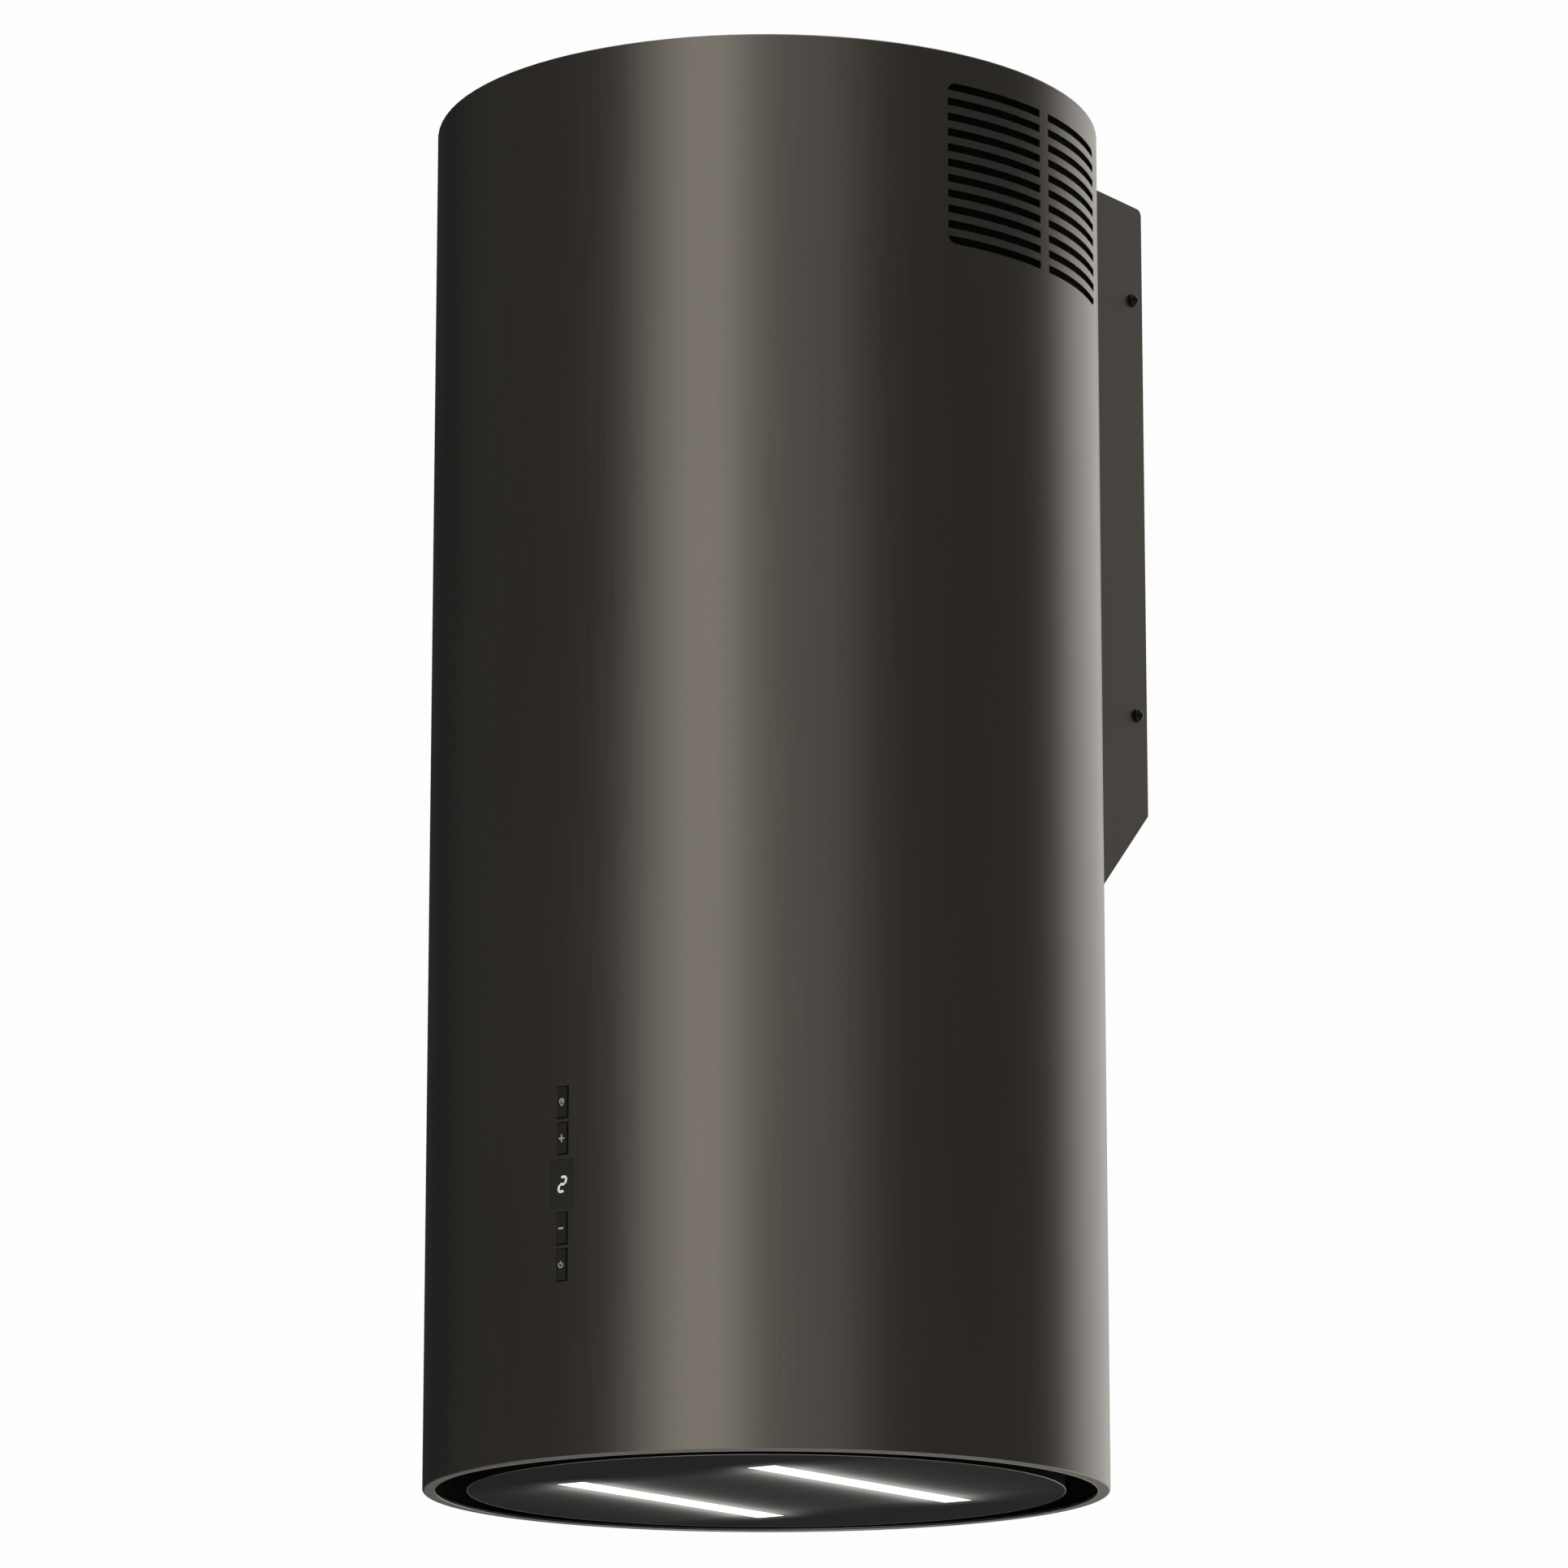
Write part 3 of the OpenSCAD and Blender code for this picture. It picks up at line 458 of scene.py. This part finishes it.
def skin(co):
    """1 for a point on the tube's outer skin, -1 on its inner skin, 0 elsewhere."""
    r = math.hypot(co.x - AXIS.x, co.y - AXIS.y)
    return 1 if abs(r - TUBE_R) < ON_SKIN else -1 if abs(r - TUBE_R + SHEET_T) < ON_SKIN else 0


def shared_skin(points):
    """The skin that all the points lie on, or 0."""
    sides = {skin(p) for p in points}
    return sides.pop() if len(sides) == 1 else 0


def face_skin(face):
    """The skin that a face lies on, or 0."""
    return shared_skin(v.co for v in face.verts)


def azimuth_from(a, b):
    """How far b lies round the axis from a, in radians."""
    a, b = Vector((a.x - AXIS.x, a.y - AXIS.y)), Vector((b.x - AXIS.x, b.y - AXIS.y))
    return math.atan2(a.x * b.y - a.y * b.x, a.dot(b))


def turns_well(a, b, c, d):
    """Whether edge c-d crosses edge a-b on the unrolled skin, and runs less far round."""
    flat = [Vector((azimuth_from(a, p) * TUBE_R, p.z - a.z)) for p in (a, b, c, d)]

    def side(p, q, r):
        return (q - p).cross(r - p)

    fa, fb, fc, fd = flat
    crosses = side(fa, fb, fc) * side(fa, fb, fd) < 0 and side(fc, fd, fa) * side(fc, fd, fb) < 0
    return crosses and abs(azimuth_from(c, d)) < abs(azimuth_from(a, b)) - AROUND_SLACK


def turn_edges(edit):
    """Turns the edges on the skins until each runs the shorter way round."""
    turned = True
    while turned:
        turned = False
        for edge in list(edit.edges):
            if not edge.is_valid or len(edge.link_faces) != 2:
                continue
            one, two = edge.link_faces
            if not face_skin(one) or face_skin(one) != face_skin(two):
                continue
            a, b = edge.verts
            c = next(v for v in one.verts if v not in (a, b))
            d = next(v for v in two.verts if v not in (a, b))
            if turns_well(a.co, b.co, c.co, d.co):
                bmesh.utils.edge_rotate(edge, False)
                turned = True


def stand_normals(mesh):
    """Normals square to the axis on the skins, and the kept ones elsewhere."""
    mesh.shade_smooth()
    normals = [None] * len(mesh.loops)
    corners = mesh.attributes["kept_normal"].data
    for polygon in mesh.polygons:
        points = [mesh.vertices[i].co for i in polygon.vertices]
        side = shared_skin(points)
        for index, p in zip(polygon.loop_indices, points):
            out = Vector((p.x - AXIS.x, p.y - AXIS.y, 0.0)).normalized() * side
            normals[index] = tuple(out) if side else tuple(corners[index].vector)
    mesh.attributes.remove(mesh.attributes["kept_normal"])
    mesh.normals_split_custom_set(normals)


def lay_tube():
    """Copies the outer tube's mesh, mends the triangles and normals, and puts the copy in its place."""
    source = nodes["outer_tube"].data
    edit = bmesh.new()
    edit.from_mesh(source)
    kept = edit.loops.layers.float_vector.new("kept_normal")
    edit.faces.ensure_lookup_table()
    for polygon in source.polygons:
        for loop, index in zip(edit.faces[polygon.index].loops, polygon.loop_indices):
            loop[kept] = source.corner_normals[index].vector
    bmesh.ops.remove_doubles(edit, verts=edit.verts, dist=SAME_POINT)
    turn_edges(edit)
    mesh = bpy.data.meshes.new("tube_sheet")
    edit.to_mesh(mesh)
    edit.free()
    stand_normals(mesh)
    mesh.materials.clear()
    mesh.materials.append(MATERIALS["tube_graphite"])
    sheet = bpy.data.objects.new("tube_sheet", mesh)
    bpy.context.scene.collection.objects.link(sheet)
    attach(sheet, "hood")
    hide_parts("outer_tube")


lay_tube()

# Marks on the keys: printed signs just proud of each key's face. Their outlines are in millimetres from
# its middle.
PRINT_T = 0.06 * MM


def key_sign(name, node, outlines):
    """A sign on the middle of a key's face, which rides with the key."""
    lo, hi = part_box(node)
    x, z = (lo.x + hi.x) / 2, (lo.z + hi.z) / 2
    parts = [prism([(x + a * MM, z + b * MM) for a, b in outline], lo.y - PRINT_T, lo.y + PRINT_T)
             for outline in outlines]
    piece(name, parts, print_with_painted_glow, node)


key_sign("sign_plus", "key_plus", [bar(0, 0, 3.8, 0.8), bar(0, 1.3, 0.85, 1.75), bar(0, -1.3, 0.85, 1.75)])
key_sign("sign_minus", "key_minus", [bar(0, 0, 3.3, 1.0)])
power_ring = band(0, -0.1, 1.05, 1.65, 125, 415, 24)
key_sign("sign_power", "key_power", [power_ring, bar(0, 1.1, 0.6, 1.9)])
bulb = band(0, 0.5, 1.15, 1.75, -50, 230, 24)
bulb_wire = band(0, 0.5, 0.15, 0.7, 0, 330, 12)
bulb_cap = [bar(0, -1.15, 1.9, 0.5), bar(0, -1.85, 1.4, 0.5)]
key_sign("sign_light", "key_light", [bulb, *bulb_cap, bulb_wire])


# The display's digit: seven-segment bars with pointed ends, leaning to the right.
def segment(x0, z0, x1, z1, width):
    """Outline of one bar between two points."""
    along = Vector((x1 - x0, z1 - z0)).normalized()
    across = Vector((-along.y, along.x)) * width / 2
    tip = along * width / 2
    a, b = Vector((x0, z0)), Vector((x1, z1))
    return [tuple(p) for p in (a, a + tip + across, b - tip + across, b, b - tip - across, a + tip - across)]


DIGIT_W, DIGIT_H, DIGIT_STROKE, DIGIT_GAP = 4.0, 8.0, 1.45, 0.12     # in millimetres
DIGIT_LEAN = 0.2
DIGIT_DOWN = 0.4 * MM
win_lo, win_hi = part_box("display_window")
digit_x, digit_z = (win_lo.x + win_hi.x) / 2, (win_lo.z + win_hi.z) / 2 - DIGIT_DOWN
w, h = DIGIT_W / 2, DIGIT_H / 2
strokes = [(-w, h, w, h), (w, h, w, 0), (-w, 0, w, 0), (-w, 0, -w, -h), (-w, -h, w, -h)]
parts = []
for x0, z0, x1, z1 in strokes:
    length = math.hypot(x1 - x0, z1 - z0)
    ux, uz = (x1 - x0) / length * DIGIT_GAP, (z1 - z0) / length * DIGIT_GAP
    outline = segment(x0 + ux, z0 + uz, x1 - ux, z1 - uz, DIGIT_STROKE)
    outline = [(digit_x + (x + z * DIGIT_LEAN) * MM, digit_z + z * MM) for x, z in outline]
    parts.append(prism(outline, win_lo.y - PRINT_T, win_lo.y + PRINT_T))
piece("digit_two", parts, digit_light, "hood")


def ring_bead(name, r, z, bead_r, steps, sides, material, body):
    """A round bead that runs all the way round the tube's axis."""
    piece(name, [sweep(circle(r, z, steps), bead_r, sides, closed=True)], material, body, smooth=True)


# A thin bright ring round the panel's edge.
panel_lo, panel_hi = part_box("bottom_panel")
panel_r = (panel_hi.x - panel_lo.x) / 2
ring_bead("panel_edge_ring", panel_r, panel_lo.z + 0.35 * MM, 0.36 * MM, 240, 8,
          panel_edge, "panel")

# The polished inner edge of the ring inside the tube's lower end.
RIM_W = 7.0 * MM
ring_bead("rim_edge", TUBE_R - RIM_W, LOW + 0.3 * MM, 0.35 * MM, 240, 8,
          edge_metal, "hood")

# Welded seam down the back of the tube, a little unsteady from side to side.
SEAM_R = 0.7 * MM
SEAM_STEPS = 240
SEAM_SHAKE = 0.12 * MM
SHAKE_TURN = 1.9         # radians of the sway from step to step
SEAM_FROM_END = 3 * MM
seam_low, seam_length = LOW + SEAM_FROM_END, TOP - LOW - 2 * SEAM_FROM_END
seam = [(AXIS.x + SEAM_SHAKE * math.sin(i * SHAKE_TURN), AXIS.y + TUBE_R,
         seam_low + seam_length * i / SEAM_STEPS) for i in range(SEAM_STEPS + 1)]
piece("weld_seam", [sweep(seam, SEAM_R, 8, flat=0.3)], weld_metal, "hood", smooth=True)

# Rolled bead round the lid's opening.
LID_BEAD_R = 80.75 * MM
lid_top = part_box("top_lid")[1].z
ring_bead("lid_bead", LID_BEAD_R, lid_top, 1.3 * MM, 120, 10,
          MATERIALS["rim_graphite"], "hood")

# Beads round the duct collar.
COLLAR_R = 75.0 * MM
COLLAR_BEADS_DOWN = (14 * MM, 24 * MM)
collar_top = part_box("outlet_collar")[1].z
for i, down in enumerate(COLLAR_BEADS_DOWN):
    ring_bead(f"collar_bead_{i}", COLLAR_R, collar_top - down, 1.0 * MM, 120, 8,
              MATERIALS["fan_plastic"], "hood")


# The grease filter's layers of expanded metal: zigzag strands that meet their neighbours at each peak.
STRAND_W, STRAND_T = 0.9 * MM, 0.6 * MM
CELL, ROW_PITCH = 7.0 * MM, 4.6 * MM
PEAK = ROW_PITCH / 2 - 0.4 * MM      # from a strand's middle, so that neighbours' edges overlap a little
TILT = 0.35 * MM                     # how far the strand leaves its layer's plane at a peak
MESH_LAYERS = 3
LAYER_PITCH = 1.9 * MM
LAYER_SHIFT = 1.1 * MM
FIRST_LAYER, FIRST_ROW = 0.8 * MM, 1.6 * MM
ROW_MARGIN = 2 * MM


def strand_row(y, z, x0, x1, turn):
    """One strand along X. turn says which way its first peak points."""
    count = int(round((x1 - x0) / (CELL / 2)))
    half_w, half_t = STRAND_W / 2, STRAND_T / 2
    verts, faces = [], []
    for i in range(count + 1):
        x = x0 + (x1 - x0) * i / count
        way = 1 if (i + turn) % 2 else -1
        peak, lift = way * PEAK, way * TILT
        for dy, dz in ((-half_w, -half_t), (half_w, -half_t), (half_w, half_t), (-half_w, half_t)):
            verts.append((x, y + peak + dy, z + lift + dz))
        if i:
            a, b = 4 * (i - 1), 4 * i
            faces += [(a + k, a + (k + 1) % 4, b + (k + 1) % 4, b + k) for k in range(4)]
    faces += [(0, 1, 2, 3), tuple(4 * count + k for k in (3, 2, 1, 0))]
    return verts, faces


mesh_lo, mesh_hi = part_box("filter_mesh")
rows = int((mesh_hi.y - mesh_lo.y - ROW_MARGIN) / ROW_PITCH)
strands = []
for layer in range(MESH_LAYERS):
    z = mesh_lo.z + FIRST_LAYER + layer * LAYER_PITCH
    start = mesh_lo.y + FIRST_ROW + layer * LAYER_SHIFT
    strands += [strand_row(start + row * ROW_PITCH, z, mesh_lo.x, mesh_hi.x, row) for row in range(rows)]
lattice = piece("filter_lattice", strands, MATERIALS["filter_mesh"], "hood")
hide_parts("filter_mesh")

# The latch's coil spring, at one length. The real spring shortens as the latch is pulled back.
WIRE_R = 0.32 * MM
COIL_TURNS, TURN_STEPS = 7, 16
spring_lo, spring_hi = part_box("latch_spring")
spring_length = spring_hi.y - spring_lo.y
coil_r = (spring_hi.z - spring_lo.z) / 2 - WIRE_R
middle_x, middle_z = (spring_lo.x + spring_hi.x) / 2, (spring_lo.z + spring_hi.z) / 2
coil_steps = COIL_TURNS * TURN_STEPS
coil = []
for i in range(coil_steps + 1):
    a = 2 * math.pi * i / TURN_STEPS
    y = spring_lo.y + WIRE_R + (spring_length - 2 * WIRE_R) * i / coil_steps
    coil.append((middle_x + coil_r * math.cos(a), y, middle_z + coil_r * math.sin(a)))
spring = piece("latch_coil", [sweep(coil, WIRE_R, 6)],
               MATERIALS["bright_steel"], "hood", smooth=True)
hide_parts("latch_spring")
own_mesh(spring)


# ---------------------------------------------------------------- camera

# The camera stands in front of the tube, towards +X and below it, and looks up.
scene = bpy.context.scene
CAMERA_AZIMUTH = math.radians(35.13)
CAMERA_DISTANCE = 19.734 * TUBE_R
CAMERA_BELOW = 2.380 * TUBE_R
CAMERA_PITCH = math.radians(12.83)
CAMERA_YAW = math.radians(0.149)
camera_data = bpy.data.cameras.new("camera")
camera_data.sensor_width = 36.0
camera_data.lens = 156.1
camera_data.clip_end = 100.0
camera = bpy.data.objects.new("camera", camera_data)
scene.collection.objects.link(camera)
scene.camera = camera
ahead = Vector((-math.sin(CAMERA_AZIMUTH), math.cos(CAMERA_AZIMUTH), 0.0))
right = Vector((ahead.y, -ahead.x, 0.0))
camera.location = AXIS - ahead * CAMERA_DISTANCE + Vector((0, 0, LOW - CAMERA_BELOW))
level = ahead * math.cos(CAMERA_YAW) + right * math.sin(CAMERA_YAW)
look = level * math.cos(CAMERA_PITCH) + Vector((0, 0, math.sin(CAMERA_PITCH)))
camera.rotation_euler = look.to_track_quat("-Z", "Y").to_euler()


# ---------------------------------------------------------------- studio

# Azimuths run from the front (-Y) towards +X, in degrees.
SOFTBOXES = [
    # from and to, each with the width of its soft edge, brightness, lowest and highest elevation
    (-20.0, 34.0, 38.0, 20.0, 1.15, -40, 62),    # tall softbox in front
    (26.0, 14.0, 78.0, 22.0, 0.27, -40, 62),     # dimmer fill beside it
    (142.0, 30.0, 212.0, 14.0, 0.92, -40, 62),   # tall softbox behind, on the right
]
AMBIENT = 0.112
SHADE = (-150.0, 20.0, -78.0, 30.0, -0.075, -90, 90)   # darker corner behind, on the left
OVERHEAD = 1.1
OVERHEAD_FROM = 60.0
TINT = (1.0, 0.985, 0.965)
BACKDROP = 0.985
LEVEL_SOFT = 6.0     # half the width of a soft edge at the top or bottom of a light
OVERHEAD_SOFT = 8.0

world = bpy.data.worlds.new("studio")
scene.world = world
world.use_nodes = True
tree = world.node_tree
tree.nodes.clear()


def wnode(kind, **values):
    node = tree.nodes.new(kind)
    for name, value in values.items():
        setattr(node, name, value)
    return node


def wmath(operation, a, b=None, c=None):
    node = wnode("ShaderNodeMath", operation=operation)
    for socket, value in zip(node.inputs, (a, b, c)):
        if value is None:
            continue
        if isinstance(value, (int, float)):
            socket.default_value = value
        else:
            tree.links.new(value, socket)
    return node.outputs["Value"]


def wstep(value, start, end):
    """Smoothly 0 to 1 as value goes from start to end."""
    node = wnode("ShaderNodeMapRange", interpolation_type="SMOOTHSTEP")
    low, high, first, last = (start, end, 0.0, 1.0) if start < end else (end, start, 1.0, 0.0)
    for socket, number in zip(("From Min", "From Max", "To Min", "To Max"), (low, high, first, last)):
        node.inputs[socket].default_value = number
    tree.links.new(value, node.inputs["Value"])
    return node.outputs["Result"]


direction = wnode("ShaderNodeSeparateXYZ")
tree.links.new(wnode("ShaderNodeTexCoord").outputs["Generated"], direction.inputs["Vector"])
towards_front = wmath("MULTIPLY", direction.outputs["Y"], -1.0)
azimuth = wmath("DEGREES", wmath("ARCTAN2", direction.outputs["X"], towards_front))
elevation = wmath("DEGREES", wmath("ARCSINE", direction.outputs["Z"]))


def softbox(start, start_soft, end, end_soft, brightness, low, high):
    """Light between two azimuths. Each soft edge lies inside them."""
    middle, half = (start + end) / 2, (end - start) / 2
    side = wmath("WRAP", wmath("SUBTRACT", azimuth, middle), 180.0, -180.0)
    sideways = wmath("MULTIPLY", wstep(side, -half, -half + start_soft), wstep(side, half, half - end_soft))
    upright = wmath("MULTIPLY", wstep(elevation, low - LEVEL_SOFT, low + LEVEL_SOFT),
                    wstep(elevation, high + LEVEL_SOFT, high - LEVEL_SOFT))
    return wmath("MULTIPLY", wmath("MULTIPLY", sideways, upright), brightness)


above = wstep(elevation, OVERHEAD_FROM - OVERHEAD_SOFT, OVERHEAD_FROM + OVERHEAD_SOFT)
total = wmath("ADD", wmath("MULTIPLY", above, OVERHEAD), AMBIENT)
for box in SOFTBOXES + [SHADE]:
    total = wmath("ADD", total, softbox(*box))
lit = wnode("ShaderNodeBackground")
lit.inputs["Color"].default_value = (*TINT, 1.0)
tree.links.new(total, lit.inputs["Strength"])
shown = wnode("ShaderNodeBackground")
shown.inputs["Color"].default_value = (BACKDROP, BACKDROP, BACKDROP, 1.0)
mix = wnode("ShaderNodeMixShader")
tree.links.new(wnode("ShaderNodeLightPath").outputs["Is Camera Ray"], mix.inputs[0])
tree.links.new(lit.outputs[0], mix.inputs[1])
tree.links.new(shown.outputs[0], mix.inputs[2])
tree.links.new(mix.outputs[0], wnode("ShaderNodeOutputWorld").inputs["Surface"])

# A round pale floor, far enough down to leave room for views from below.
FLOOR_BELOW = 4.7        # metres under the tube's lower rim
FLOOR_R = 7.0
FLOOR_STEPS = 128
floor_mesh = bpy.data.meshes.new("floor")
turns = [2 * math.pi * i / FLOOR_STEPS for i in range(FLOOR_STEPS)]
edge = [(FLOOR_R * math.cos(a), FLOOR_R * math.sin(a), LOW - FLOOR_BELOW) for a in turns]
floor_mesh.from_pydata(edge, [], [tuple(range(FLOOR_STEPS))])
floor = bpy.data.objects.new("floor", floor_mesh)
scene.collection.objects.link(floor)
floor_look = Material("floor", (0.86, 0.86, 0.85), roughness=0.8, Specular_IOR_Level=0.2,
                      Emission_Color=(1.0, 1.0, 0.99, 1.0), Emission_Strength=0.24)
floor_look.vary_color(floor_look.noise(3.0), 0.99, 1.01)
floor_mesh.materials.append(floor_look.material)

scene.view_settings.view_transform = "Standard"
